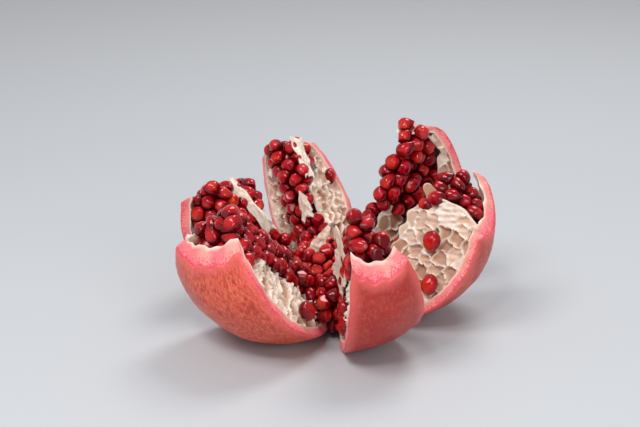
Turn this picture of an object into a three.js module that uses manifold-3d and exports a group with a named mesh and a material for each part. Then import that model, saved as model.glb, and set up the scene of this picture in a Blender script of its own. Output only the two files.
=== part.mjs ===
// Open pomegranate: a ripe fruit with its crown sliced off, scored into six
// wedges and folded open like a flower. The wedges still hang together at the
// stem end, on which the fruit rests. Millimetres, +Z up.
//
// Every wedge is described in the closed fruit, whose axis is +Z and whose stem
// end is at the origin, and is then swung outwards about a hinge at the stem.
// A place in the closed fruit is given by its polar angle (0 at the stem end),
// by the angle across the wedge, and by a radius or a distance from the axis.

import * as THREE from 'three';
import { mergeVertices } from 'three/addons/utils/BufferGeometryUtils.js';
import Module from 'manifold-3d';

const wasm = await Module();
wasm.setup();

// ---- driving dimensions ----------------------------------------------------

const FRUIT_RADIUS = 47;
const RIND_THICKNESS = 4.7;
const INNER_RADIUS = FRUIT_RADIUS - RIND_THICKNESS;
const SCOOP = 5;                   // the crown cut dips this far in each wedge, degrees
const INNERMOST_CUT = 166;         // the crown cut never reaches past this polar angle
const HINGE_RADIUS = 9;            // the wedges bend this far from the axis
const STEM_POLAR = 8;              // the wedges start this far from the stem end
const STEM_PLATE = { radius: 14, halfHeight: 5.5, height: 6.3 };
const ARIL = { length: 9.4, width: 7.2 };
const ARIL_PITCH = 12;
const PITH_MIN_WIDTH = 3;
const PITH_ROOT = 1.5;             // how far the standing pith reaches into the lining
const PITH_RECESS = 0.5;           // how far it stays behind the cut face, degrees
const SEEDS_FROM = 32;             // polar angle where the packed seeds start
const SEEDS_TO = 160;              // polar angle past which their room stops shrinking
const SEED_INSET = 1.5;            // single seeds sink this far into the packed middle
const FACE_MARGIN = 1.5;           // the packed middle stays this far inside a cut face, degrees
const BEHIND_PITH = 3;             // and this far behind standing pith, degrees
const WIDE_PITH_CORE = 26;         // pith that starts further out than this narrows no seeds
const UNEVEN = 1.2;                // single seeds sit this much higher or lower
const MEMBRANE_WAVE = 0.8;         // how far a membrane sways off its plane
const GROW_AXIS = 15;              // clearance angles are measured this far from the axis
const MIDDLE = { size: [15, 14, 11], at: [-3, 0, 19], top: 29 };
const SPILL = { size: [7, 20, 7], at: [-2, -22, 13], slope: 18 };
const SEED_GAP = 1;                // room between the seeds' middle and the lining
const GAP = 0.3;                   // clearance between neighbouring pieces
const TABLE_CLEARANCE = 0.35;

// facing: compass direction of the wedge, anticlockwise from +X, degrees
// halfWidth: half of the angle across it; opening: how far it swings out
// lean: sideways tilt; rest: height of its lowest point before the flat is cut
// crown, slant: polar angle of the crown cut, and its change to either side
// core: distance from the axis to the inner edge of the seeds
const LOBES = [
  { name: 'front_left', facing: 229, halfWidth: 39, opening: 48, lean: 1, rest: -0.5,
    crown: 142, slant: 6, core: 3,
    pith: [{ side: 1, angle: 11, from: 50, to: 128, core: 24 },
           { side: -1, angle: 4, from: 116, to: 144, core: 9 }] },
  { name: 'front_right', facing: 290.5, halfWidth: 23, opening: 43, lean: 14, rest: -0.4,
    crown: 138, slant: -8, core: 1,
    pith: [{ side: -1, angle: 7, from: 84, to: 132, core: 20 }] },
  { name: 'right', facing: 350.5, halfWidth: 31, opening: 31, lean: -4, rest: -0.4,
    crown: 128, slant: 12, core: 7,
    pith: [{ side: -1, angle: 12, from: 34, to: 121, core: 7 }] },
  { name: 'back_right', facing: 49, halfWidth: 27, opening: 25, lean: 8, rest: 2.5,
    crown: 154, slant: -3, core: 1,
    pith: [{ side: -1, angle: 9, from: 34, to: 92, core: 4 },
           { side: -1, angle: 9, from: 88, to: 149, core: 24 }] },
  { name: 'back_left', facing: 95, halfWidth: 26, opening: 36, lean: -20, rest: -0.4,
    crown: 137, slant: 1, core: 10,
    pith: [{ side: -1, angle: 11, from: 45, to: 109, core: 17 },
           { side: -1, angle: 9, from: 108, to: 134, core: 27 },
           { side: 1, angle: 9, from: 40, to: 132, core: 28 }] },
  { name: 'left', facing: 150, halfWidth: 34, opening: 28, lean: -14, rest: -0.4,
    crown: 119, slant: 9, core: 15,
    pith: [{ side: -1, angle: 9, from: 40, to: 104, core: 24 }] },
];

// Torn membranes: sheets between the seed chambers that stand proud of the
// seeds. across is -1 to 1 over the wedge; near and far are distances from the
// axis.
const MEMBRANES = [
  { name: 'membrane_front_right', lobe: 'front_right', across: -1.04, from: 80, to: 113,
    near: 7, far: 18, thickness: 1.4 },
  { name: 'membrane_left', lobe: 'left', across: 0.1, from: 84, to: 118,
    near: 12, far: 22, thickness: 1.4 },
  { name: 'membrane_back_left', lobe: 'back_left', across: -0.9, from: 112, to: 139,
    near: 12, far: 19, thickness: 1.2 },
  { name: 'membrane_back_left_flap', lobe: 'back_left', across: 0.3, from: 52, to: 72,
    near: 8, far: 19, thickness: 1.4 },
];

// The torn membrane that stands up out of the seeds in the middle.
const CENTRE_MEMBRANE = { foot: [-11.5, -6, 29], tip: [-3.5, -5, 42], width: 7, thickness: 1.4 };

// Seeds that lie apart from the clusters, on a cut face of a wedge: side is the
// face, polar and axis give the place on it, lift is its height off the face.
const LOOSE_ARILS = [
  { name: 'aril_right_face', lobe: 'right', side: -1, polar: 95, axis: 23.7, lift: 0.6 },
  { name: 'aril_right_low', lobe: 'right', side: -1, polar: 76, axis: 35.2, lift: 1.2 },
  { name: 'aril_right_lower', lobe: 'right', side: -1, polar: 66, axis: 29, lift: 2.4 },
  { name: 'aril_front_left_low', lobe: 'front_left', side: 1, polar: 75, axis: 34, lift: 2.2 },
  { name: 'aril_back_left_edge', lobe: 'back_left', side: -1, polar: 109, axis: 35, lift: 0.8 },
];

// ---- geometry helpers ------------------------------------------------------

const radians = THREE.MathUtils.degToRad;

function solidOf(geometry) {
  const bare = geometry.clone();
  bare.deleteAttribute('normal');
  bare.deleteAttribute('uv');
  const merged = mergeVertices(bare, 1e-4);
  return new wasm.Manifold(new wasm.Mesh({
    numProp: 3,
    vertProperties: new Float32Array(merged.attributes.position.array),
    triVerts: new Uint32Array(merged.index.array),
  }));
}

function geometryOf(solid) {
  const mesh = solid.getMesh();
  const geometry = new THREE.BufferGeometry();
  geometry.setAttribute('position', new THREE.BufferAttribute(mesh.vertProperties, 3));
  geometry.setIndex(new THREE.BufferAttribute(mesh.triVerts, 1));
  geometry.computeVertexNormals();
  return geometry;
}

function union(solids) {
  return solids.reduce((whole, next) => whole.add(next));
}

function largestBody(solid) {
  const bodies = solid.decompose();
  return bodies.reduce((best, body) => (body.volume() > best.volume() ? body : best));
}

// A closed block between an outer and an inner surface over the same u, v grid.
function block(outer, inner, uSteps, vSteps) {
  const positions = [];
  const indices = [];
  const columns = vSteps + 1;
  const layer = (uSteps + 1) * columns;
  for (const surface of [outer, inner]) {
    for (let i = 0; i <= uSteps; i++) {
      for (let j = 0; j <= vSteps; j++) {
        positions.push(...surface(i / uSteps, j / vSteps).toArray());
      }
    }
  }
  const quad = (a, b, c, d) => indices.push(a, b, c, a, c, d);
  const out = (i, j) => i * columns + j;
  const inn = (i, j) => layer + out(i, j);
  for (let i = 0; i < uSteps; i++) {
    for (let j = 0; j < vSteps; j++) {
      quad(out(i, j), out(i, j + 1), out(i + 1, j + 1), out(i + 1, j));
      quad(inn(i, j), inn(i + 1, j), inn(i + 1, j + 1), inn(i, j + 1));
    }
    quad(out(i, 0), out(i + 1, 0), inn(i + 1, 0), inn(i, 0));
    quad(out(i, vSteps), inn(i, vSteps), inn(i + 1, vSteps), out(i + 1, vSteps));
  }
  for (let j = 0; j < vSteps; j++) {
    quad(out(0, j), inn(0, j), inn(0, j + 1), out(0, j + 1));
    quad(out(uSteps, j), out(uSteps, j + 1), inn(uSteps, j + 1), inn(uSteps, j));
  }
  const geometry = new THREE.BufferGeometry();
  geometry.setAttribute('position', new THREE.Float32BufferAttribute(positions, 3));
  geometry.setIndex(indices);
  return geometry;
}

// ---- the closed fruit ------------------------------------------------------

function onSphere(radius, polar, across) {
  const axis = radius * Math.sin(radians(polar));
  const height = FRUIT_RADIUS - radius * Math.cos(radians(polar));
  return offAxis(axis, height, across);
}

function offAxis(axis, height, across) {
  const angle = radians(across);
  return new THREE.Vector3(axis * Math.cos(angle), axis * Math.sin(angle), height);
}

// Polar angle at which a shell of this radius meets the flat crown cut.
function crownPolar(radius, side, lobe) {
  const cut = Math.cos(radians(lobe.crown + lobe.slant * side));
  const cosine = Math.max(FRUIT_RADIUS * cut / radius, Math.cos(radians(INNERMOST_CUT)));
  return THREE.MathUtils.radToDeg(Math.acos(cosine));
}

function swing(lobe, lift) {
  const steps = [
    new THREE.Matrix4().makeTranslation(0, 0, lift),
    new THREE.Matrix4().makeRotationZ(radians(lobe.facing)),
    new THREE.Matrix4().makeRotationX(radians(lobe.lean)),
    new THREE.Matrix4().makeTranslation(HINGE_RADIUS, 0, 0),
    new THREE.Matrix4().makeRotationY(radians(lobe.opening)),
    new THREE.Matrix4().makeTranslation(-HINGE_RADIUS, 0, 0),
  ];
  return steps.reduce((whole, step) => whole.multiply(step), new THREE.Matrix4());
}

// The open wedge's place, lifted so that its lowest skin is at lobe.rest.
function placement(lobe) {
  const untouched = swing(lobe, 0);
  let lowest = Infinity;
  for (let polar = STEM_POLAR; polar < lobe.crown; polar += 1) {
    for (let side = -1; side <= 1; side += 0.05) {
      const point = onSphere(FRUIT_RADIUS, polar, side * lobe.halfWidth);
      lowest = Math.min(lowest, point.applyMatrix4(untouched).z);
    }
  }
  return swing(lobe, lobe.rest - lowest);
}

// ---- rind ------------------------------------------------------------------

// Skin and white lining of one wedge, up to the crown cut.
function shell(lobe, grow) {
  const width = lobe.halfWidth + THREE.MathUtils.radToDeg(grow / GROW_AXIS);
  const surface = (radius, scoop) => (u, v) => {
    const side = 2 * v - 1;
    const start = STEM_POLAR - 2 * grow;
    const end = crownPolar(radius, side, lobe) + grow - scoop * (1 - side * side);
    return onSphere(radius, start + u * (end - start), side * width);
  };
  return block(surface(FRUIT_RADIUS + grow, SCOOP), surface(INNER_RADIUS - grow, 0), 11, 6);
}

// White pith left standing along one cut face of a wedge, just short of it.
function pithPad(lobe, pad, grow) {
  const cutFace = lobe.halfWidth - PITH_RECESS + THREE.MathUtils.radToDeg(grow / GROW_AXIS);
  const surface = (axisAt) => (u, v) => {
    const polar = pad.from - grow + u * (pad.to - pad.from + 2 * grow);
    const inside = lobe.halfWidth - pad.angle - 3 * grow;
    const across = pad.side > 0
      ? inside + v * (cutFace - inside)
      : -cutFace + v * (cutFace - inside);
    const radius = INNER_RADIUS + PITH_ROOT;
    const height = FRUIT_RADIUS - radius * Math.cos(radians(polar));
    return offAxis(axisAt(radius * Math.sin(radians(polar))), height, across);
  };
  const outer = surface((reach) => reach);
  const inner = surface((reach) => Math.min(pad.core, reach - PITH_MIN_WIDTH) - grow);
  return block(outer, inner, 6, 1);
}

function stemPlate(grow) {
  const plate = new THREE.SphereGeometry(1, 16, 8);
  plate.rotateX(Math.PI / 2);
  plate.scale(STEM_PLATE.radius + grow, STEM_PLATE.radius + grow, STEM_PLATE.halfHeight + grow);
  plate.translate(0, 0, STEM_PLATE.height);
  return plate;
}

function rindSolid(grow) {
  const pieces = [solidOf(stemPlate(grow))];
  for (const lobe of LOBES) {
    const matrix = placement(lobe);
    pieces.push(solidOf(shell(lobe, grow).applyMatrix4(matrix)));
    for (const pad of lobe.pith) {
      pieces.push(solidOf(pithPad(lobe, pad, grow).applyMatrix4(matrix)));
    }
  }
  return union(pieces);
}

// ---- membranes -------------------------------------------------------------

function membraneSolid(membrane, grow) {
  const lobe = LOBES.find((candidate) => candidate.name === membrane.lobe);
  const half = membrane.thickness / 2 + grow;
  const surface = (offset) => (u, v) => {
    const polar = membrane.from - grow + u * (membrane.to - membrane.from + 2 * grow);
    const axis = membrane.near - grow + v * (membrane.far - membrane.near + 2 * grow);
    const height = FRUIT_RADIUS - INNER_RADIUS * Math.cos(radians(polar));
    const point = offAxis(axis, height, 0);
    point.y += offset + MEMBRANE_WAVE * Math.sin(4 * u);
    return point.applyAxisAngle(new THREE.Vector3(0, 0, 1),
      radians(membrane.across * lobe.halfWidth));
  };
  return solidOf(block(surface(-half), surface(half), 6, 2).applyMatrix4(placement(lobe)));
}

// A sheet that rises from its foot to its tip and narrows on the way.
function centreMembraneSolid(grow) {
  const foot = new THREE.Vector3(...CENTRE_MEMBRANE.foot);
  const along = new THREE.Vector3(...CENTRE_MEMBRANE.tip).sub(foot);
  const reach = along.length();
  along.normalize();
  const face = new THREE.Vector3(0, -1, 0);
  const sideways = new THREE.Vector3().crossVectors(along, face).normalize();
  const half = CENTRE_MEMBRANE.thickness / 2 + grow;
  const surface = (offset) => (u, v) => {
    const width = CENTRE_MEMBRANE.width * (1 - 0.6 * u * u) / 2 + grow;
    return foot.clone()
      .addScaledVector(along, -grow + u * (reach + 2 * grow))
      .addScaledVector(sideways, (2 * v - 1) * width)
      .addScaledVector(face, offset + MEMBRANE_WAVE * Math.sin(3 * u));
  };
  return solidOf(block(surface(half), surface(-half), 6, 2));
}

// ---- arils -----------------------------------------------------------------

// A repeatable scatter between -1 and 1.
function scatter(seed) {
  const wave = Math.sin(seed * 12.9898) * 43758.5453;
  return 2 * (wave - Math.floor(wave)) - 1;
}

// One seed, its long axis along a direction.
function arilGeometry(centre, direction, grow) {
  const aril = new THREE.IcosahedronGeometry(1, 0);
  aril.scale(ARIL.width / 2 + grow, ARIL.width / 2 + grow, ARIL.length / 2 + grow);
  const turn = new THREE.Quaternion().setFromUnitVectors(new THREE.Vector3(0, 0, 1), direction);
  aril.applyQuaternion(turn);
  aril.translate(centre.x, centre.y, centre.z);
  return aril;
}

function looseArilSolid(loose, grow) {
  const lobe = LOBES.find((candidate) => candidate.name === loose.lobe);
  const across = loose.side * lobe.halfWidth;
  const height = FRUIT_RADIUS - FRUIT_RADIUS * Math.cos(radians(loose.polar));
  const centre = offAxis(loose.axis, height, across);
  const outwards = offAxis(1, 0, across + loose.side * 90);
  centre.addScaledVector(outwards, loose.lift);
  const direction = onSphere(1, loose.polar, across);
  direction.z -= FRUIT_RADIUS;
  direction.normalize();
  return solidOf(arilGeometry(centre, direction, grow).applyMatrix4(placement(lobe)));
}

// How far the pith on one side narrows the seeds at a polar angle, degrees.
function pithAngle(lobe, side, polar) {
  const here = lobe.pith.filter((pad) => pad.side === side
    && polar > pad.from - 8 && polar < pad.to + 8 && pad.core < WIDE_PITH_CORE);
  return here.length ? here[0].angle + BEHIND_PITH : FACE_MARGIN;
}

function seedReach(polar, grow) {
  return (INNER_RADIUS - SEED_GAP + grow) * Math.sin(radians(Math.min(polar, SEEDS_TO)));
}

// The packed seeds of one wedge: a solid middle with single seeds on the faces
// that show.
function clusterSolid(lobe, grow) {
  const last = (side) => lobe.crown + lobe.slant * side;
  const heightAt = (polar) => FRUIT_RADIUS
    - (INNER_RADIUS - SEED_GAP) * Math.cos(radians(polar));
  const surface = (axisAt) => (u, v) => {
    const end = last(2 * v - 1);
    const polar = SEEDS_FROM - grow + u * (end - SEEDS_FROM + 2 * grow);
    const left = -lobe.halfWidth + pithAngle(lobe, -1, polar) - grow;
    const right = lobe.halfWidth - pithAngle(lobe, 1, polar) + grow;
    return offAxis(axisAt(polar), heightAt(polar), left + v * (right - left));
  };
  const coreAxis = (polar) => Math.min(lobe.core + 1.5, seedReach(polar, 0) - 4);
  const outer = surface((polar) => seedReach(polar, grow));
  const inner = surface((polar) => coreAxis(polar) - grow);
  const pieces = [block(outer, inner, 7, 2)];
  const place = (axis, height, across, seed) => {
    const centre = offAxis(axis, height + UNEVEN * scatter(seed), across);
    const direction = centre.clone();
    direction.z -= FRUIT_RADIUS;
    direction.normalize();
    pieces.push(arilGeometry(centre, direction, grow));
  };
  const rowAngle = THREE.MathUtils.radToDeg(ARIL_PITCH / (FRUIT_RADIUS - 12));
  for (const side of [-1, 0, 1]) {
    for (let polar = SEEDS_FROM + 8; polar < last(side) - 3; polar += rowAngle) {
      const inset = side ? pithAngle(lobe, side, polar) : 0;
      const reach = seedReach(polar, 0) - ARIL.length / 2 - 0.8;
      const outermost = side ? reach : Math.min(lobe.core + 4, reach);
      if (inset > FACE_MARGIN) {
        continue;
      }
      for (let axis = lobe.core + 4; axis <= outermost; axis += ARIL_PITCH) {
        const sunk = side * THREE.MathUtils.radToDeg(SEED_INSET / axis);
        place(axis, heightAt(polar), side * (lobe.halfWidth - inset) - sunk, polar + axis + side);
      }
    }
    const top = last(side) - 2;
    const across = side * (lobe.halfWidth - 12);
    for (let axis = lobe.core + 7; axis < seedReach(top, 0) - 6; axis += ARIL_PITCH) {
      place(axis, heightAt(top), across, axis + 3 * side);
    }
  }
  const matrix = placement(lobe);
  return union(pieces.map((piece) => solidOf(piece.applyMatrix4(matrix))));
}

// Seeds left in the middle of the open fruit, and in the gap between the two
// front wedges.
function centreSolid(grow) {
  const middle = new THREE.SphereGeometry(1, 10, 6);
  middle.scale(...MIDDLE.size.map((half) => half + grow));
  middle.translate(...MIDDLE.at);
  const spill = new THREE.SphereGeometry(1, 10, 6);
  spill.scale(...SPILL.size.map((half) => half + grow));
  spill.rotateX(radians(SPILL.slope));
  spill.translate(...SPILL.at);
  const pieces = [middle, spill];
  for (let ring = 0; ring < 2; ring++) {
    const radius = 4 + ring * 9;
    const count = 3 + ring * 4;
    for (let step = 0; step < count; step++) {
      const turn = (step + 0.4 * scatter(ring * 13 + step)) * 2 * Math.PI / count;
      const height = MIDDLE.top - 0.02 * radius * radius + scatter(ring * 7 + step * 3);
      const centre = new THREE.Vector3(
        radius * Math.cos(turn) + MIDDLE.at[0], radius * Math.sin(turn), height);
      const up = new THREE.Vector3(0.4 * Math.cos(turn), 0.4 * Math.sin(turn), 1).normalize();
      pieces.push(arilGeometry(centre, up, grow));
    }
  }
  return union(pieces.map(solidOf));
}

// ---- assembly --------------------------------------------------------------

function tableBlock(top) {
  const table = new THREE.BoxGeometry(400, 400, 40);
  table.translate(0, 0, top - 20);
  return solidOf(table);
}

const fruit = new THREE.Group();
let taken = tableBlock(TABLE_CLEARANCE);

function addPiece(name, solid, colour, roughness) {
  const material = new THREE.MeshStandardMaterial({ color: colour, roughness, metalness: 0 });
  const mesh = new THREE.Mesh(geometryOf(solid), material);
  mesh.name = name;
  fruit.add(mesh);
}

// Adds a piece, cut clear of every piece before it.
function addFitted(name, build, colour, roughness) {
  addPiece(name, largestBody(build(0).subtract(taken)), colour, roughness);
  taken = taken.add(build(GAP));
}

const SKIN_COLOUR = 0xc2503f;
const MEMBRANE_COLOUR = 0xe8dcc0;
const ARIL_COLOUR = 0x8c0f1e;

const seats = LOOSE_ARILS.map((loose) => looseArilSolid(loose, GAP));
const rind = seats.reduce((solid, seat) => solid.subtract(seat), rindSolid(0));
addPiece('rind', largestBody(rind.subtract(tableBlock(0))), SKIN_COLOUR, 0.55);
taken = taken.add(rindSolid(GAP));

for (const loose of LOOSE_ARILS) {
  addPiece(loose.name, looseArilSolid(loose, 0), ARIL_COLOUR, 0.15);
  taken = taken.add(looseArilSolid(loose, GAP));
}
for (const membrane of MEMBRANES) {
  addFitted(membrane.name, (grow) => membraneSolid(membrane, grow), MEMBRANE_COLOUR, 0.7);
}
addFitted('membrane_centre', centreMembraneSolid, MEMBRANE_COLOUR, 0.7);
for (const lobe of LOBES) {
  addFitted(`arils_${lobe.name}`, (grow) => clusterSolid(lobe, grow), ARIL_COLOUR, 0.15);
}
addFitted('arils_centre', centreSolid, ARIL_COLOUR, 0.15);

// The part's origin is the middle of its box, on the table.
const box = new THREE.Box3().setFromObject(fruit);
const middle = box.getCenter(new THREE.Vector3());
fruit.position.set(-middle.x, -middle.y, -box.min.z);

export default fruit;
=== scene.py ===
"""The looks of the open pomegranate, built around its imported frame.

The fruit was sliced across the crown, scored into six wedges and folded open.
Every wedge is described in the closed fruit, in millimetres, with its axis on
+Z and its stem end at the origin, then swung open about a hinge at the stem.
A place in the closed fruit is given by its polar angle from the stem end, the
angle across the wedge, and a radius or a distance from the axis.
"""
import math

import bmesh
import bpy
import numpy as np
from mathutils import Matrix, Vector


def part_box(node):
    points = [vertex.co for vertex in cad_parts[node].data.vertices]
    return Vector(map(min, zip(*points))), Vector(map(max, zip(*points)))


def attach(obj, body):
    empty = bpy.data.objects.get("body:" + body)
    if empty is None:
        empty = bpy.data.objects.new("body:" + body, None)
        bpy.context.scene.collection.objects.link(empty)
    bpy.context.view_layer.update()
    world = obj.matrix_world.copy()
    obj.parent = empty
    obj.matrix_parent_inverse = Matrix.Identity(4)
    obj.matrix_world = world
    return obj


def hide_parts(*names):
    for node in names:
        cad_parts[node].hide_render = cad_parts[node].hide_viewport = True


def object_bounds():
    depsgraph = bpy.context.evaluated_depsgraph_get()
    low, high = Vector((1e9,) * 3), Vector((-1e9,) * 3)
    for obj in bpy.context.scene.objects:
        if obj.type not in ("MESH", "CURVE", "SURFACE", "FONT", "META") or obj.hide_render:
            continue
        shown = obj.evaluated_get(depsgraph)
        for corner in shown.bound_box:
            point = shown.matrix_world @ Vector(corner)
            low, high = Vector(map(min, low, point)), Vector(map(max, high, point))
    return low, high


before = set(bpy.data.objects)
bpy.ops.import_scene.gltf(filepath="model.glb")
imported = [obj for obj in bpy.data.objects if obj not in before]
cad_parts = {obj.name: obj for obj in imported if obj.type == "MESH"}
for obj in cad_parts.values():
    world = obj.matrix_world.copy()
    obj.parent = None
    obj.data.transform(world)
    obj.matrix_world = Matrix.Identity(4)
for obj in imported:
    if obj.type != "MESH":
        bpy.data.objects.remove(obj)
cad_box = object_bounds()

# ---- driving dimensions, in millimetres and degrees ----------------------------

MM = 0.001
FRUIT_RADIUS = 47.0
RIND_THICKNESS = 4.7
INNER_RADIUS = FRUIT_RADIUS - RIND_THICKNESS
SCOOP = 5.0
HINGE_RADIUS = 9.0
STEM_POLAR = 8.0
ARIL_LENGTH = 9.8
ARIL_WIDTH = 8.2
ARIL_SPACING = 6.0
FREE_FACETS = 4
EDGE_ROUND = 0.9
INNERMOST_CUT = 166.0        # the crown cut never reaches past this polar angle
PLATE_RADIUS = 15.0          # the plate under the middle that joins the wedges
PLATE_THICKNESS = 4.5
PIT_PITCH = 6.6              # the sockets that seeds left in the pith
PIT_JITTER = 3.2
PIT_DEPTH = 3.0
PITH_OVERLAP = 1.2           # the pith's root runs this far into the lining
SEED_ROOM = 3.3              # from the lining to the nearest seed's middle
SEED_SIGHT = 9.5             # seeds deeper than this below an open side aren't drawn
CLOSEST_START = 0.74         # seeds start out at least this share of the spacing apart
SHALLOW_CUT = 0.735          # facets further out than this share of the width get only a quarter of the painted crease shade
SHEET_THICKNESS = 0.5

# facing, half_width, opening, lean, rest: how the wedge stands
# crown, slant: polar angle of the crown cut, and its change to either side
# dip, notch: how far the cut sags mid-wedge at the skin and at the lining, degrees
# core: distance from the axis to the inner edge of the seeds
# skin: 0 coral to 1 brick red
LOBES = [
    dict(name="front_left", facing=229, half_width=39, opening=48, lean=1, rest=-0.5,
         crown=138, slant=4, dip=1, notch=-2, core=3, skin=0.1, ripe=0.25, heap=0.5,
         pith=[dict(side=1, angle=11, start=50, end=128, core=20),
               dict(side=-1, angle=4, start=112, end=141, core=9)]),
    dict(name="front_right", facing=290.5, half_width=23, opening=43, lean=14, rest=-0.4,
         crown=139, slant=-2, dip=7, notch=4, core=1, skin=1.0, ripe=0.4, heap=2.5,
         pith=[dict(side=-1, angle=7, start=84, end=132, core=20)]),
    dict(name="right", facing=350.5, half_width=31, opening=31, lean=-4, rest=-0.4,
         crown=128, slant=12, core=7, skin=0.6, ripe=0.3, heap=-3,
         pith=[dict(side=-1, angle=12, start=34, end=124, core=7, over=20)]),
    dict(name="back_right", facing=49, half_width=27, opening=25, lean=8, rest=2.5,
         crown=154, slant=-3, core=-2, skin=0.5, ripe=0.25, bulge=3, heap=1,
         seeds_from=62,
         pith=[dict(side=-1, angle=9, start=34, end=92, core=4),
               dict(side=-1, angle=5, start=88, end=152, core=10, width=9)]),
    dict(name="back_left", facing=95, half_width=26, opening=36, lean=-20, rest=-0.4,
         crown=137, slant=1, core=10, skin=0.5, ripe=0.2, heap=-1,
         pith=[dict(side=-1, angle=11, start=45, end=109, core=17),
               dict(side=-1, angle=9, start=108, end=134, core=27),
               dict(side=1, angle=9, start=40, end=132, core=28)]),
    dict(name="left", facing=150, half_width=34, opening=28, lean=-14, rest=-0.4,
         crown=119, slant=9, core=15, skin=0.3, ripe=0.35, heap=-1,
         pith=[dict(side=-1, angle=9, start=40, end=104, core=24)]),
]
LOBE = {lobe["name"]: lobe for lobe in LOBES}

# Single seeds on a cut face: polar and axis give the place, lift its height.
LOOSE_ARILS = [
    dict(node="aril_right_face", lobe="right", side=-1, polar=95, axis=23.7, lift=0.6,
         size=1.25),
    dict(node="aril_right_low", lobe="right", side=-1, polar=76, axis=35.2, lift=1.2,
         size=1.2),
    dict(node="aril_right_lower", lobe="right", side=-1, polar=66, axis=29, lift=2.4,
         size=1.1),
    dict(node="aril_front_left_low", lobe="front_left", side=1, polar=75, axis=34, lift=2.2,
         size=1.1),
    dict(node="aril_back_left_edge", lobe="back_left", side=-1, polar=109, axis=35, lift=0.8,
         size=0.8),
]


# ---- numbers -------------------------------------------------------------------

def smoothstep(low, high, value):
    t = np.clip((value - low) / (high - low), 0.0, 1.0)
    return t * t * (3.0 - 2.0 * t)


def unit(vectors):
    return vectors / (np.linalg.norm(vectors, axis=-1, keepdims=True) + 1e-12)


def ripple(points, pitch, seed):
    """A smooth repeatable field, mostly within -1 to 1, with waves about pitch long."""
    rng = np.random.RandomState(seed)
    total = 0.0
    for _ in range(7):
        direction = unit(rng.normal(size=3))
        wave = 2 * math.pi / (pitch * rng.uniform(0.6, 1.5))
        total = total + np.sin(points @ direction * wave + rng.uniform(0, 2 * math.pi))
    return total / 3.0


# ---- the closed fruit ----------------------------------------------------------

def off_axis(axis, height, across):
    angle = np.radians(across)
    x, y, z = np.broadcast_arrays(axis * np.cos(angle), axis * np.sin(angle), height)
    return np.stack([x, y, z], axis=-1).astype(float)


def on_sphere(radius, polar, across):
    angle = np.radians(polar)
    return off_axis(radius * np.sin(angle), FRUIT_RADIUS - radius * np.cos(angle), across)


def crown_polar(radius, side, lobe):
    """Polar angle at which a shell of this radius meets the flat crown cut."""
    cut = np.cos(np.radians(lobe["crown"] + lobe["slant"] * side))
    cosine = np.maximum(FRUIT_RADIUS * cut / radius, math.cos(math.radians(INNERMOST_CUT)))
    return np.degrees(np.arccos(cosine))


# ---- the open fruit ------------------------------------------------------------

def turn(points, axis, degrees):
    """Points turned about +X, +Y or +Z."""
    cosine, sine = math.cos(math.radians(degrees)), math.sin(math.radians(degrees))
    first, second = {"x": (1, 2), "y": (2, 0), "z": (0, 1)}[axis]
    turned = points.copy()
    turned[..., first] = points[..., first] * cosine - points[..., second] * sine
    turned[..., second] = points[..., first] * sine + points[..., second] * cosine
    return turned


def swing(points, lobe):
    hinge = np.array([HINGE_RADIUS, 0.0, 0.0])
    opened = turn(points - hinge, "y", lobe["opening"]) + hinge
    return turn(turn(opened, "x", lobe["lean"]), "z", lobe["facing"])


def lowest_skin(lobe):
    polar = np.arange(STEM_POLAR, lobe["crown"])[:, None]
    side = np.arange(-1.0, 1.001, 0.05)[None]
    return swing(on_sphere(FRUIT_RADIUS, polar, side * lobe["half_width"]), lobe)[..., 2].min()


for lobe in LOBES:
    lobe["lift"] = lobe["rest"] - lowest_skin(lobe)


def cut_face_point(lobe, side, polar, axis, lift):
    """A point on a radial cut face of a wedge, or lift above it."""
    across = side * lobe["half_width"]
    height = FRUIT_RADIUS - FRUIT_RADIUS * math.cos(math.radians(polar))
    return off_axis(axis, height, across) + lift * off_axis(1.0, 0.0, across + side * 90)


def find_shift():
    """From the stem end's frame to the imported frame, read off one seed's place."""
    mark = LOOSE_ARILS[0]
    lobe = LOBE[mark["lobe"]]
    point = cut_face_point(lobe, mark["side"], mark["polar"], mark["axis"], mark["lift"])
    here = swing(point, lobe) + [0, 0, lobe["lift"]]
    low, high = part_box(mark["node"])
    return np.array((low + high) / 2) / MM - here


SHIFT = find_shift()


def place(points, lobe):
    """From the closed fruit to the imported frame."""
    return swing(points, lobe) + [0, 0, lobe["lift"]] + SHIFT


def unplace(points, lobe):
    """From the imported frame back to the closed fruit."""
    hinge = np.array([HINGE_RADIUS, 0.0, 0.0])
    lowered = points - SHIFT - [0, 0, lobe["lift"]]
    closed = turn(turn(lowered, "z", -lobe["facing"]), "x", -lobe["lean"])
    return turn(closed - hinge, "y", -lobe["opening"]) + hinge


def bend(points, lobe):
    """As place, but the wedges run together smoothly at the stem end."""
    axis = np.hypot(points[..., 0], points[..., 1])
    weight = smoothstep(2.0, 14.0, axis)[..., None]
    joined = turn(points, "z", lobe["facing"])
    joined[..., 2] = 5.0 + points[..., 2] * 0.8
    return joined * (1 - weight) + SHIFT * (1 - weight) + place(points, lobe) * weight


# ---- mesh building -------------------------------------------------------------

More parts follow.
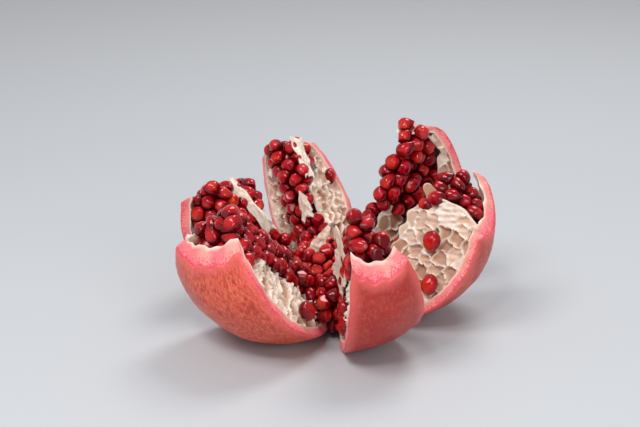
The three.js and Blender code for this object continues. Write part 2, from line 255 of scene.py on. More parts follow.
class Parts:
    """Vertices, faces and per-vertex values gathered for one piece."""

    def __init__(self, **values):
        self.points, self.faces = [], []
        self.count = 0
        self.values = {name: [] for name in values}
        self.sizes = values

    def add(self, points, faces, **values):
        points = points.reshape(-1, 3)
        self.points.append(points)
        self.faces.append(np.asarray(faces) + self.count)
        self.count += len(points)
        for name, width in self.sizes.items():
            shape = (len(points),) if width == 1 else (len(points), width)
            value = np.asarray(values[name], dtype=float)
            if value.ndim >= 1 and value.size > width:
                value = value.reshape(shape)
            self.values[name].append(np.broadcast_to(value, shape))

    def build(self, name, material, nodes, merge=0.0, sharp=180.0):
        points = np.concatenate(self.points) * MM
        faces = [list(map(int, face)) for block in self.faces for face in block]
        mesh = bpy.data.meshes.new(name)
        mesh.from_pydata(points.tolist(), [], faces)
        for key, width in self.sizes.items():
            kind = "FLOAT" if width == 1 else "FLOAT_VECTOR"
            layer = mesh.attributes.new(key, kind, "POINT")
            flat = np.concatenate(self.values[key]).astype(np.float32).ravel()
            layer.data.foreach_set("value" if width == 1 else "vector", flat)
        if merge:
            work = bmesh.new()
            work.from_mesh(mesh)
            bmesh.ops.remove_doubles(work, verts=work.verts, dist=merge * MM)
            bmesh.ops.recalc_face_normals(work, faces=work.faces)
            work.to_mesh(mesh)
            work.free()
        mesh.polygons.foreach_set("use_smooth", [True] * len(mesh.polygons))
        if sharp < 180:
            mesh.set_sharp_from_angle(angle=math.radians(sharp))
        mesh.materials.append(material)
        piece = bpy.data.objects.new(name, mesh)
        bpy.context.scene.collection.objects.link(piece)
        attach(piece, "root")
        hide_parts(*nodes)
        return piece


def grid_faces(rows, columns):
    index = np.arange(rows * columns).reshape(rows, columns)
    corners = index[:-1, :-1], index[1:, :-1], index[1:, 1:], index[:-1, 1:]
    return np.stack([corner.ravel() for corner in corners], axis=1)


def box_patches(us, vs, ws):
    """The six faces of a block as (u, v, w) arrays, whose borders meet."""
    for w in (ws[0], ws[-1]):
        u, v = np.meshgrid(us, vs, indexing="ij")
        yield u, v, np.full_like(u, w)
    for v in (vs[0], vs[-1]):
        u, w = np.meshgrid(us, ws, indexing="ij")
        yield u, np.full_like(u, v), w
    for u in (us[0], us[-1]):
        v, w = np.meshgrid(vs, ws, indexing="ij")
        yield np.full_like(v, u), v, w


def crowded(count, ends):
    """0 to 1 in count steps, crowded at both ends or only at the last one."""
    steps = np.linspace(0, 1, count + 1)
    return 0.5 - 0.5 * np.cos(math.pi * steps) if ends == 2 else np.sin(0.5 * math.pi * steps)


# ---- materials -----------------------------------------------------------------

class Shader:
    """A node material with short names for the nodes it uses."""

    def __init__(self, name):
        self.material = bpy.data.materials.new(name)
        self.material.use_nodes = True
        self.tree = self.material.node_tree
        self.surface = self.tree.nodes["Principled BSDF"]

    def node(self, kind, **settings):
        made = self.tree.nodes.new("ShaderNode" + kind)
        for key, value in settings.items():
            setattr(made, key, value)
        return made

    def feed(self, socket, value):
        if isinstance(value, bpy.types.NodeSocket):
            self.tree.links.new(value, socket)
        else:
            socket.default_value = value

    def value(self, name):
        return self.node("Attribute", attribute_name=name).outputs["Fac"]

    def vector(self, name):
        return self.node("Attribute", attribute_name=name).outputs["Vector"]

    def math(self, operation, first, second=0.5, third=0.0):
        made = self.node("Math", operation=operation)
        for socket, value in zip(made.inputs, (first, second, third)):
            self.feed(socket, value)
        return made.outputs[0]

    def scaled(self, vector, factors):
        made = self.node("VectorMath", operation="MULTIPLY")
        self.feed(made.inputs[0], vector)
        made.inputs[1].default_value = factors
        return made.outputs[0]

    def noise(self, vector, scale, detail=3.0, rough=0.55):
        made = self.node("TexNoise")
        self.feed(made.inputs["Vector"], vector)
        made.inputs["Scale"].default_value = scale
        made.inputs["Detail"].default_value = detail
        made.inputs["Roughness"].default_value = rough
        return made.outputs["Fac"]

    def cells(self, vector, scale, feature="F1"):
        made = self.node("TexVoronoi", feature=feature)
        self.feed(made.inputs["Vector"], vector)
        made.inputs["Scale"].default_value = scale
        return made.outputs["Distance"]

    def ramp(self, value, low, high, to_low=0.0, to_high=1.0):
        made = self.node("MapRange", interpolation_type="SMOOTHSTEP")
        for socket, number in zip(made.inputs, (value, low, high, to_low, to_high)):
            self.feed(socket, number)
        return made.outputs[0]

    def mix(self, factor, first, second):
        made = self.node("Mix", data_type="RGBA")
        self.feed(made.inputs["Factor"], factor)
        for socket, colour in ((made.inputs["A"], first), (made.inputs["B"], second)):
            self.feed(socket, colour if isinstance(colour, bpy.types.NodeSocket) else (*colour, 1))
        return made.outputs["Result"]

    def bump(self, height, strength, distance, below=None):
        made = self.node("Bump")
        made.inputs["Strength"].default_value = strength
        made.inputs["Distance"].default_value = distance * MM
        self.feed(made.inputs["Height"], height)
        if below is not None:
            self.feed(made.inputs["Normal"], below)
        return made.outputs["Normal"]

    def finish(self, **sockets):
        for name, value in sockets.items():
            self.feed(self.surface.inputs[name.replace("_", " ")], value)
        return self.material


CORAL = (0.80, 0.10, 0.055)
BRICK = (0.40, 0.016, 0.014)
BLUSH = (0.85, 0.13, 0.12)
OCHRE = (0.80, 0.34, 0.11)
MAGENTA = (0.72, 0.02, 0.09)
PINK = (0.85, 0.19, 0.20)
PEACH = (0.87, 0.34, 0.28)
CREAM = (0.72, 0.49, 0.36)
IVORY = (0.86, 0.74, 0.63)
BEIGE = (0.43, 0.22, 0.13)
LINING = (0.84, 0.66, 0.55)
STAIN = (0.35, 0.13, 0.08)
BROWN = (0.20, 0.07, 0.04)


def rind_material():
    """Red skin outside, pink and cream flesh on the cuts, by the depth below the skin."""
    s = Shader("rind_skin_and_flesh")
    meridian = s.vector("meridian")
    depth, rim, skin = s.value("depth"), s.value("rim"), s.value("skin")
    blotch = s.noise(meridian, 0.055, 4)
    streak = s.noise(s.scaled(meridian, (1.0, 0.30, 1.0)), 0.45, 6, 0.75)
    fine = s.noise(s.scaled(meridian, (1.0, 0.35, 1.0)), 2.2, 3, 0.6)
    colour = s.mix(s.math("ADD", s.ramp(blotch, 0.35, 0.65, -0.15, 0.25), skin), CORAL, BRICK)
    colour = s.mix(s.ramp(streak, 0.48, 0.64, 0.0, 0.7), colour, BRICK)
    yellow = s.ramp(skin, 0.0, 1.0, 1.0, 0.3)
    colour = s.mix(s.math("MULTIPLY", yellow, s.ramp(streak, 0.36, 0.50, 0.25, 0.0)), colour, OCHRE)
    mottle = s.noise(s.scaled(meridian, (1.0, 0.45, 1.0)), 0.85, 4, 0.7)
    colour = s.mix(s.ramp(mottle, 0.50, 0.64, 0.0, 0.75), colour, BRICK)
    colour = s.mix(s.math("MULTIPLY", yellow, s.ramp(mottle, 0.36, 0.48, 0.4, 0.0)), colour, OCHRE)
    bruise = s.noise(meridian, 0.13, 4, 0.65)
    colour = s.mix(s.ramp(bruise, 0.56, 0.72, 0.0, 0.55), colour, BRICK)
    specks = s.math("MULTIPLY", s.ramp(s.cells(meridian, 0.62), 0.16, 0.34, 1.0, 0.0),
                    s.ramp(fine, 0.42, 0.58))
    colour = s.mix(s.math("MULTIPLY", specks, s.ramp(skin, 0.0, 1.0, 0.4, 0.2)), colour, OCHRE)
    colour = s.mix(s.ramp(rim, 0.0, 6.0, 0.7, 0.0), colour, BLUSH)

    dots = s.noise(meridian, 1.1, 3, 0.7)
    flesh = s.mix(s.ramp(blotch, 0.40, 0.62), PINK, PEACH)
    flesh = s.mix(s.ramp(depth, 0.75, 1.0), flesh, LINING)
    pink = s.math("MULTIPLY", s.ramp(dots, 0.47, 0.56), s.ramp(depth, 0.12, 0.75, 1.0, 0.15))
    flesh = s.mix(s.math("MULTIPLY", pink, 0.9), flesh, MAGENTA)
    flesh = s.mix(s.ramp(depth, 0.03, 0.22, 0.75, 0.0), flesh, MAGENTA)
    both = s.mix(s.ramp(depth, 0.015, 0.06), colour, flesh)
    scar = s.value("scar")
    both = s.mix(scar, both, BROWN)

    pores = s.bump(s.cells(meridian, 1.3), 0.25, 0.25)
    grain = s.bump(fine, 0.3, 0.3, pores)
    rough = s.math("ADD", s.ramp(fine, 0.3, 0.7, 0.34, 0.50), s.ramp(depth, 0.0, 0.1, 0.0, 0.15))
    return s.finish(Base_Color=both, Roughness=rough, Normal=grain, Specular_IOR_Level=0.4,
                    Coat_Weight=0.12, Coat_Roughness=0.3)


def pith_material():
    """Cream tissue with whiter ridges round beige seed sockets."""
    s = Shader("pith")
    spot, pit = s.vector("spot"), s.value("pit")
    stain = s.noise(spot, 0.16, 3)
    fibres = s.noise(spot, 1.4, 4, 0.65)
    colour = s.mix(s.ramp(pit, 0.05, 0.55), IVORY, CREAM)
    colour = s.mix(s.ramp(pit, 0.35, 1.0, 0.0, 0.85), colour, BEIGE)
    colour = s.mix(s.ramp(stain, 0.50, 0.72, 0.0, 0.45), colour, BEIGE)
    hollow = s.math("MULTIPLY", s.ramp(pit, 0.65, 1.0), s.ramp(fibres, 0.45, 0.7))
    colour = s.mix(s.math("MULTIPLY", hollow, 0.55), colour, STAIN)
    colour = s.mix(s.ramp(s.value("rim"), 0.0, 5.0, 0.35, 0.0), colour, PEACH)
    relief = s.bump(fibres, 0.5, 0.5)
    return s.finish(Base_Color=colour, Roughness=s.ramp(pit, 0.0, 1.0, 0.45, 0.6), Normal=relief,
                    Subsurface_Weight=0.35, Subsurface_Radius=(1.0, 0.6, 0.4),
                    Subsurface_Scale=2.5 * MM, Specular_IOR_Level=0.4)


def membrane_material():
    """Thin waxy cream skin, veined and a little see-through."""
    s = Shader("membrane")
    spot = s.vector("spot")
    veins = s.noise(s.scaled(spot, (1.0, 1.0, 0.35)), 0.8, 4, 0.65)
    patch = s.noise(spot, 0.2, 2)
    colour = s.mix(s.ramp(veins, 0.35, 0.7), IVORY, CREAM)
    colour = s.mix(s.ramp(patch, 0.55, 0.75, 0.0, 0.5), colour, BEIGE)
    relief = s.bump(veins, 0.4, 0.4)
    return s.finish(Base_Color=colour, Roughness=s.ramp(veins, 0.3, 0.7, 0.38, 0.55),
                    Normal=relief, Subsurface_Weight=0.5, Subsurface_Radius=(1.0, 0.6, 0.45),
                    Subsurface_Scale=1.5 * MM)


def aril_material():
    """Wet ruby flesh with painted light: painted shade at the sides, a painted glow where it faces
    the open, a painted caustic spot below.
    """
    s = Shader("aril")
    tone, glow, spark = s.value("tone"), s.value("glow"), s.value("spark")
    spot = s.vector("spot")
    cloud = s.noise(spot, 0.35, 3)
    # deep is the painted shade colour of the sides and creases, bright the colour of the painted
    # glow
    deep = s.mix(tone, (0.11, 0.0004, 0.003), (0.26, 0.0010, 0.003))
    bright = s.mix(tone, (0.60, 0.003, 0.016), (0.95, 0.008, 0.014))
    lit = s.math("MULTIPLY", glow, s.ramp(cloud, 0.30, 0.65, 0.45, 1.0))
    colour = s.mix(lit, deep, bright)
    # painted light: a hot orange caustic spot, drawn where the spot value is high
    painted_caustic_colour = s.mix(tone, (0.80, 0.020, 0.035), (1.0, 0.10, 0.03))
    colour = s.mix(s.math("MULTIPLY", spark, 0.8), colour, painted_caustic_colour)
    skin = s.bump(s.noise(spot, 0.9, 2), 0.10, 0.4)
    return s.finish(Base_Color=colour, Roughness=s.ramp(cloud, 0.3, 0.7, 0.03, 0.09), Normal=skin,
                    Subsurface_Weight=0.10, Subsurface_Radius=(1.0, 0.05, 0.03),
                    Subsurface_Scale=1.5 * MM, Transmission_Weight=0.35, IOR=1.40,
                    Specular_Tint=(1.0, 0.3, 0.3, 1), Coat_Weight=0.5, Coat_Roughness=0.02)


# ---- rind ----------------------------------------------------------------------

def rounding(distance):
    """How far a cut edge is worn back at this distance from it."""
    near = np.clip(1 - distance / EDGE_ROUND, 0, 1)
    return 0.3 * EDGE_ROUND * near * near


def shell_point(lobe, seed, u, v, w):
    """The rind of one wedge: u from stem to crown, v across, w from skin to lining."""
    side = 2 * v - 1
    depth = w * RIND_THICKNESS
    radius = FRUIT_RADIUS - depth
    sag = lobe.get("dip", SCOOP) * (1 - w) + lobe.get("notch", 0) * w
    end = crown_polar(radius, side, lobe) - sag * (1 - side * side)
    polar = STEM_POLAR + u * (end - STEM_POLAR)
    start = on_sphere(radius, polar, side * lobe["half_width"])
    axis = radius * np.sin(np.radians(polar))
    from_cut = (1 - np.abs(side)) * math.radians(lobe["half_width"]) * axis
    from_crown = (1 - u) * np.radians(end - STEM_POLAR) * radius
    from_edge = np.minimum(from_cut, from_crown)
    skinwards = np.clip(1 - depth / EDGE_ROUND, 0, 1)
    bumps = 0.45 * ripple(start, 34.0, seed) + 0.12 * ripple(start, 9.0, seed + 1)
    lining = 0.5 * ripple(start, 6.0, seed + 2) * w
    radius = radius + bumps * (1 - 0.5 * w) + lining - rounding(from_edge) * skinwards
    inset = rounding(depth) * np.clip(1 - from_cut / EDGE_ROUND, 0, 1)
    wave = 0.35 * ripple(start, 12.0, seed + 3) * np.abs(side) ** 10
    across = side * lobe["half_width"] + np.degrees((wave - inset) * np.sign(side) / (axis + 1))
    ragged = 0.8 * ripple(start, 7.0, seed + 4) * u ** 12
    polar = polar + np.degrees((ragged - rounding(depth) * u ** 30) / FRUIT_RADIUS)
    closed = on_sphere(radius, polar, across)
    facing = math.radians(lobe["facing"])
    meridian = np.stack([(np.radians(across) + facing) * FRUIT_RADIUS,
                         np.radians(polar) * FRUIT_RADIUS, depth], axis=-1)
    return closed, meridian, from_edge


def add_shell(parts, lobe, seed):
    us, vs = crowded(90, 1), crowded(56, 2)
    ws = np.array([0, 0.05, 0.12, 0.22, 0.36, 0.52, 0.68, 0.84, 1.0])
    for u, v, w in box_patches(us, vs, ws):
        closed, meridian, rim = shell_point(lobe, seed, u, v, w)
        placed = bend(closed, lobe)
        placed[..., 2] = np.maximum(placed[..., 2], 0.0)
        parts.add(placed, grid_faces(*u.shape), depth=w, meridian=meridian, rim=rim,
                  skin=lobe["skin"], scar=0.0)


def add_stem_plate(parts):
    """The middle of the underside, where the wedges hang together, with the stem scar."""
    rings, spokes = 26, 72
    t, turns = np.meshgrid(np.linspace(0.02, 1, rings), np.linspace(0, 2 * math.pi, spokes + 1),
                           indexing="ij")
    radius = PLATE_RADIUS * t
    for upper in (False, True):
        flat = np.stack([radius * np.cos(turns), radius * np.sin(turns), 0 * radius], axis=-1)
        wrinkle = 0.25 * np.sin(turns * 12 + 2 * np.sin(turns * 3)) * smoothstep(1, 5, radius)
        scar = smoothstep(4.4, 3.2, radius)
        height = 5.2 - 0.010 * radius ** 2 + wrinkle * (radius < 14.9)
        height = height - 1.1 * smoothstep(4.0, 3.3, radius) + 1.6 * smoothstep(2.4, 0.5, radius)
        if upper:
            height = height + PLATE_THICKNESS * np.sqrt(np.clip(1 - t ** 6, 0, 1))
        flat[..., 2] = height
        meridian = np.stack([turns * FRUIT_RADIUS, radius, 0 * radius], axis=-1)
        parts.add(flat + SHIFT, grid_faces(rings, spokes + 1), depth=1.0 if upper else 0.0,
                  meridian=meridian, rim=20.0, skin=0.5, scar=0.0 if upper else scar * 0.8)


def cells_for(seed):
    """Middles of the seed sockets on a pith face, as (distance along, distance up)."""
    rng = np.random.RandomState(seed)
    points = []
    for row in range(-2, 24):
        for column in range(-2, 12):
            along = (column + 0.5 * (row % 2)) * PIT_PITCH
            up = row * PIT_PITCH * 0.87
            points.append(np.array([along, up]) + rng.uniform(-PIT_JITTER, PIT_JITTER, 2))
    return np.array(points), rng.uniform(0.15, 1.0, len(points))


def closed_flat(flat):
    """Places on a cut face, (axis, height), as points."""
    return off_axis(flat[..., 0], flat[..., 1], 0.0)


def pith_core(pad, polar):
    """Distance from the axis to the inner edge of a pad of pith."""
    reach = (INNER_RADIUS + PITH_OVERLAP) * np.sin(np.radians(polar))
    return np.maximum(pad["core"], reach - pad.get("width", FRUIT_RADIUS))


def add_pith(parts, lobe, pad, seed):
    """Standing pith on a cut face, hollowed by the sockets that seeds left."""
    length = math.radians(pad["end"] - pad["start"]) * 42
    reach_most = FRUIT_RADIUS - RIND_THICKNESS - pad["core"]
    us = np.linspace(0, 1, max(12, int(length / 0.6)))
    vs = np.linspace(0, 1, max(10, int(reach_most / 0.6)))
    ws = np.array([0, 0.08, 0.2, 0.4, 0.7, 1.0])
    sockets, hollows = cells_for(seed)
    for u, v, w in box_patches(us, vs, ws):
        polar = pad["start"] + u * (pad["end"] - pad["start"])
        rough = off_axis(20.0 * v + 8, polar, 0.0)
        polar = polar + 3.5 * ripple(rough, 9.0, seed) * (2 * u - 1) ** 5
        radius = INNER_RADIUS + PITH_OVERLAP
        reach = radius * np.sin(np.radians(polar))
        height = FRUIT_RADIUS - radius * np.cos(np.radians(polar))
        core = pith_core(pad, polar) + 2.2 * ripple(rough, 11.0, seed + 1)
        core = np.minimum(core, reach - 3)
        axis = core + v * (reach - core)
        flat = np.stack([axis, height], axis=-1)
        warp = [ripple(closed_flat(flat), 6.0, seed + 7 + step) for step in range(2)]
        warped = flat + 0.7 * np.stack(warp, axis=-1)
        gaps = np.sqrt(((warped[..., None, :] - sockets) ** 2).sum(-1))
        near = np.partition(gaps, 1, axis=-1)
        pit = smoothstep(0.1, 1.3, near[..., 1] - near[..., 0])
        pit = pit * hollows[np.argmin(gaps, axis=-1)]
        pit = pit * smoothstep(0.0, 0.10, 1 - v) * smoothstep(0.0, 0.05, v + 0.02)
        room = math.radians(pad["angle"]) * axis
        edge = np.clip(1 - (axis - core) / 3.0, 0, 1) ** 2 * 1.2
        lump = 0.5 * ripple(closed_flat(flat), 10.0, seed + 2)
        torn = 0.7 * ripple(closed_flat(flat), 3.0, seed + 5) * (1 - pit)
        sunk = np.minimum(PIT_DEPTH * pit + 0.6 + edge - lump - torn, room * 0.8) * (1 - w)
        across = lobe["half_width"] - pad["angle"] * w - np.degrees(sunk / (axis + 0.5))
        closed = off_axis(axis, height, pad["side"] * across)
        rim = reach - axis
        parts.add(place(closed, lobe), grid_faces(*u.shape), pit=pit * (1 - w), spot=closed,
                  rim=rim)


# ---- arils ---------------------------------------------------------------------

def unit_ball():
    """Vertices and faces of a fine ball of triangles."""
    work = bmesh.new()
    bmesh.ops.create_icosphere(work, subdivisions=4, radius=1.0)
    points = np.array([vertex.co[:] for vertex in work.verts])
    faces = np.array([[vertex.index for vertex in face.verts] for face in work.faces])
    work.free()
    return points, faces


BALL_POINTS, BALL_FACES = unit_ball()


def side_inset(lobe, side, polar, axis):
    """How far the seeds' middles stay inside a cut face."""
    inset = 1.4 - lobe.get("bulge", 0) * smoothstep(16, 2, axis)
    for pad in lobe["pith"]:
        if pad["side"] == side:
            covered = (polar > pad["start"] - 4) & (polar < pad["end"] + pad.get("over", 1))
            covered &= axis > pith_core(pad, polar) - 3
            inset = np.where(covered, math.radians(pad["angle"]) * axis + 3.0, inset)
    return inset


def keep_in_wedge(points, lobe):
    """Moves the seeds' middles back into the room that a wedge has for them."""
    middle = np.array([0.0, 0.0, FRUIT_RADIUS])
    for _ in range(2):
        axis = np.hypot(points[:, 0], points[:, 1])
        from_middle = points - middle
        radius = np.linalg.norm(from_middle, axis=1)
        polar = np.degrees(np.arccos(np.clip(-from_middle[:, 2] / radius, -1, 1)))
        for side in (-1, 1):
            normal = off_axis(1.0, 0.0, side * (lobe["half_width"] + 90.0))
            over = points @ normal + side_inset(lobe, side, polar, axis)
            points = points - np.clip(over, 0, None)[:, None] * normal
        points = points + np.maximum(lobe["core"] + 3.0 - points[:, :1], 0) * [1, 0, 0]
        allowed = INNER_RADIUS - SEED_ROOM
        from_middle = points - middle
        radius = np.linalg.norm(from_middle, axis=1)
        points = middle + from_middle * np.minimum(1, allowed / radius)[:, None]
        side = np.degrees(np.arctan2(points[:, 1], points[:, 0])) / lobe["half_width"]
        cut = np.cos(np.radians(lobe["crown"] + lobe["slant"] * np.clip(side, -1, 1)))
        top = FRUIT_RADIUS - FRUIT_RADIUS * cut + lobe.get("heap", 1.0)
        points[:, 2] = np.minimum(points[:, 2], top)
        lowest = math.radians(lobe.get("seeds_from", 32))
        low = FRUIT_RADIUS - (FRUIT_RADIUS - 8) * math.cos(lowest)
        points[:, 2] = np.maximum(points[:, 2], low)
    return points


def spread(points, keep_in, fixed, rounds):
    """Pushes crowded seeds apart, inside keep_in and away from the fixed ones."""
    for _ in range(rounds):
        push = np.zeros_like(points)
        for others, share in ((points, 0.5), (fixed, 1.0)):
            if len(others):
                apart = points[:, None] - others[None]
                gap = np.linalg.norm(apart, axis=-1) + 1e-9
                squeeze = np.where(gap > 1e-6, np.clip(ARIL_SPACING - gap, 0, None), 0)
                push += (apart / gap[..., None] * squeeze[..., None]).sum(1) * share * 0.6
        points = keep_in(points + push)
    return points


def scatter(tries, fixed):
    """The tries that stay clear of the fixed points and of each other, in their order."""
    chosen = np.full((len(tries) + 1, 3), 1e6)
    apart = ARIL_SPACING * CLOSEST_START
    count = 0
    for point in tries:
        clear = np.linalg.norm(chosen[:count + 1] - point, axis=1).min() > apart
        if clear and len(fixed):
            clear = np.linalg.norm(fixed - point, axis=1).min() > apart
        if clear:
            chosen[count + 1] = point
            count += 1
    return chosen[1:count + 1]


def wedge_seeds(lobe, seed):
    """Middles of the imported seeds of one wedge, in the closed fruit."""
    rng = np.random.RandomState(seed)
    tries = rng.uniform([-12, -32, 0], [FRUIT_RADIUS, 32, 2 * FRUIT_RADIUS], (20000, 3))
    inside = np.linalg.norm(keep_in_wedge(tries, lobe) - tries, axis=1) < 0.5
    chosen = scatter(tries[inside], np.zeros((0, 3)))
    return spread(chosen, lambda moved: keep_in_wedge(moved, lobe), np.zeros((0, 3)), 60)


def open_direction(points, lobe):
    """For each seed, the way out to the nearest open side of its wedge."""
    axis = np.hypot(points[:, 0], points[:, 1]) + 1e-6
    out = np.zeros_like(points)
    depth = np.full(len(points), 99.0)
    choices = []
    for side in (-1, 1):
        normal = off_axis(1.0, 0.0, side * (lobe["half_width"] + 90.0))
        choices.append((-(points @ normal), np.broadcast_to(normal, points.shape)))
    inwards = -points * [1, 1, 0] / axis[:, None]
    choices.append((points[:, 0] - lobe["core"] - 1.5, inwards))
    cut = np.cos(np.radians(lobe["crown"]))
    top = FRUIT_RADIUS - FRUIT_RADIUS * cut
    choices.append((top - points[:, 2] + 1.0, np.broadcast_to([0.0, 0.0, 1.0], points.shape)))
    for distance, way in choices:
        out += np.exp(-np.clip(distance, 0, None) / 3.5)[:, None] * way
        depth = np.minimum(depth, distance)
    return unit(out), depth


def aril_shape(centre, axis, glow_way, neighbours, size, rng):
    """One seed: a blunt drop, pressed flat by its neighbours, with a few facets of its own."""
    length = ARIL_LENGTH / 2 * size * rng.uniform(0.90, 1.10)
    width = ARIL_WIDTH / 2 * size * rng.uniform(0.92, 1.08)
    along = BALL_POINTS[:, 2]
    girth = width * (0.86 + 0.20 * along - 0.10 * along ** 2)
    local = np.stack([BALL_POINTS[:, 0] * girth, BALL_POINTS[:, 1] * girth * 0.93,
                      along * length - 0.4], axis=1)
    helper = unit(np.cross(axis, unit(rng.normal(size=3))))
    frame_axes = np.stack([helper, np.cross(axis, helper), axis])
    shape = local @ frame_axes
    # painted shade: how hard neighbours and facets press each spot of the seed, which darkens it in
    # the colour
    painted_crease_shade = np.zeros(len(shape))
    facets = [(unit(glow_way + 0.9 * rng.normal(size=3)), width * rng.uniform(0.74, 0.90))
              for _ in range(FREE_FACETS)]
    soft = 0.14
    for towards, room in neighbours + facets:
        over = shape @ towards - room
        excess = soft * np.log1p(np.exp(np.clip(over / soft, -30, 30)))
        shape = shape - excess[:, None] * towards
        pressed = smoothstep(-1.1, 0.1, over)
        painted_crease_shade = np.maximum(painted_crease_shade, pressed * (0.25 if room > width * SHALLOW_CUT else 1.0))
    outwards = unit(shape)
    # painted light: a glow on the side that faces the open, taken away again as painted shade where
    # the seed is pressed
    glow = smoothstep(-0.1, 0.9, outwards @ glow_way) * (1 - painted_crease_shade)
    # painted light: a caustic spot on the seed's lower side, also dimmed by the painted crease
    # shade
    below = unit(glow_way + [0, 0, -0.7] + 0.35 * rng.normal(size=3))
    spark = smoothstep(0.55, 0.98, outwards @ below) * (1 - painted_crease_shade)
    return centre + shape, glow, spark


def add_arils(parts, centres, axes, ways, others, limits, ripe, seed, size=1.0):
    """Shapes each seed against its neighbours among others and its own limits."""
    rng = np.random.RandomState(seed)
    for index, centre in enumerate(centres):
        apart = others - centre
        gap = np.linalg.norm(apart, axis=1)
        close = (gap > 0.01) & (gap < ARIL_LENGTH * size + 1)
        neighbours = [(apart[j] / gap[j], gap[j] / 2 - 0.04) for j in np.where(close)[0]]
        neighbours += limits(centre)
        points, glow, spark = aril_shape(centre, axes[index], ways[index], neighbours, size, rng)
        parts.add(points, BALL_FACES, tone=np.clip(ripe + rng.normal() * 0.22, 0, 1), glow=glow,
                  spark=spark, spot=points + rng.uniform(0, 500))


def wedge_limits(lobe):
    """Planes that keep a wedge's seeds off its lining and its standing pith."""
    middle = np.array([[0.0, 0.0, FRUIT_RADIUS]])
    middle_placed = place(middle, lobe)[0]

    def limits(centre):
        closed = unplace(centre[None], lobe)[0]
        outwards = centre - middle_placed
        radius = np.linalg.norm(outwards)
        polar = math.degrees(math.acos(np.clip((FRUIT_RADIUS - closed[2]) / radius, -1, 1)))
        found = [(outwards / radius, INNER_RADIUS - 0.3 - radius)]
        axis = math.hypot(closed[0], closed[1])
        for pad in lobe["pith"]:
            if pad["start"] - 4 < polar < pad["end"] and axis > pith_core(pad, polar) - 3:
                across = pad["side"] * (lobe["half_width"] + 90.0)
                normal = off_axis(1.0, 0.0, across)
                room = -(closed @ normal) - math.radians(pad["angle"]) * axis
                turned = place(normal[None], lobe)[0] - place(0 * normal[None], lobe)[0]
                found.append((turned, max(room, 1.5)))
        return found

    return limits


def table_limit(centre):
    return [(np.array([0.0, 0.0, -1.0]), centre[2] - 0.4)]


def build_arils(material):
    rng = np.random.RandomState(5)
    placed, axes, ways, shown = {}, {}, {}, {}
    for number, lobe in enumerate(LOBES):
        closed = wedge_seeds(lobe, 40 + number)
        way, depth = open_direction(closed, lobe)
        inwards = unit(np.array([0.0, 0.0, FRUIT_RADIUS]) - closed)
        axis = unit(inwards + 0.5 * way + 0.35 * rng.normal(size=closed.shape))
        origin = place(np.zeros((1, 3)), lobe)
        placed[lobe["name"]] = place(closed, lobe)
        axes[lobe["name"]] = place(axis, lobe) - origin
        ways[lobe["name"]] = place(way, lobe) - origin
        shown[lobe["name"]] = depth < SEED_SIGHT
    loose = {}
    for mark in LOOSE_ARILS:
        lobe = LOBE[mark["lobe"]]
        point = cut_face_point(lobe, mark["side"], mark["polar"], mark["axis"], mark["lift"])
        loose[mark["node"]] = place(point[None], lobe)[0]
    packed = np.concatenate([*placed.values(), np.array(list(loose.values()))])
    centre_points = middle_seeds(packed)
    everything = np.concatenate([packed, centre_points])

    for number, lobe in enumerate(LOBES):
        name = lobe["name"]
        keep = shown[name]
        parts = Parts(tone=1, glow=1, spark=1, spot=3)
        add_arils(parts, placed[name][keep], axes[name][keep], ways[name][keep], everything,
                  wedge_limits(lobe), lobe["ripe"], 60 + number)
        parts.build("seeds_" + name, material, ["arils_" + name])
    parts = Parts(tone=1, glow=1, spark=1, spot=3)
    up = unit(np.array([[0.0, -0.25, 1.0]]) + 0.45 * rng.normal(size=centre_points.shape))
    add_arils(parts, centre_points, up, up, everything, table_limit, 0.8, 80)
    parts.build("seeds_centre", material, ["arils_centre"])
    for number, mark in enumerate(LOOSE_ARILS):
        parts = Parts(tone=1, glow=1, spark=1, spot=3)
        lobe = LOBE[mark["lobe"]]
        across = mark["side"] * (lobe["half_width"] + 90.0)
        outwards = off_axis(1.0, 0.0, across)
        origin = place(np.zeros((1, 3)), lobe)
        way = place(outwards[None], lobe) - origin
        axis = place(unit(np.array([[-0.2, 0.0, 1.0]]) + 0.3 * outwards), lobe) - origin
        add_arils(parts, loose[mark["node"]][None], axis, way, everything, table_limit,
                  0.5, 90 + number, mark["size"])
        parts.build("seed_" + mark["node"][5:], material, [mark["node"]])


def middle_seeds(packed):
    """Seeds heaped in the middle of the open fruit and in the front gap."""
    rng = np.random.RandomState(12)
    low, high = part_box("arils_centre")
    low, high = np.array(low) / MM, np.array(high) / MM
    heaps = [(SHIFT + [-3, 0, 21], np.array([17.0, 15.0, 11.0])),
             (SHIFT + [-2, -20, 16], np.array([7.0, 19.0, 10.0]))]

    def keep_in(points):
        best, kept = np.full(len(points), 1e9), points.copy()
        for middle, size in heaps:
            scaled = (points - middle) / size
            reach = np.linalg.norm(scaled, axis=1, keepdims=True)
            inside = middle + scaled / np.maximum(reach, 1) * size
            moved = np.linalg.norm(inside - points, axis=1)
            kept = np.where((moved < best)[:, None], inside, kept)
            best = np.minimum(best, moved)
        kept[:, 2] = np.maximum(kept[:, 2], 4.5)
        return kept

    tries = rng.uniform(low, high, (6000, 3))
    tries = tries[np.linalg.norm(keep_in(tries) - tries, axis=1) < 0.5]
    return spread(scatter(tries, packed), keep_in, packed, 40)


# ---- membranes -----------------------------------------------------------------

# across and turn: where the sheet starts across its wedge, and how far it turns
# start, end: polar angles; near, far: distances from the axis at start and end
# lift: how far the inner edge curls off the sheet's plane
SHEETS = [
    dict(node="membrane_front_right", lobe="front_right", across=-1.04, turn=0, start=80, end=113,
         near=(12, 3), far=(24, 20), lift=-4.0),
    dict(node="membrane_left", lobe="left", across=-0.55, turn=0.75, start=84, end=120,
         near=(13, 21), far=(12, 19), lift=0.0),
    dict(node="membrane_back_left", lobe="back_left", across=-1.15, turn=0, start=108, end=141,
         near=(12, 10), far=(17, 19), lift=1.0),
    dict(node="membrane_back_left_flap", lobe="back_left", across=-0.7, turn=1.3, start=76, end=92,
         near=(11, 7), far=(12, 6), lift=0.0),
]


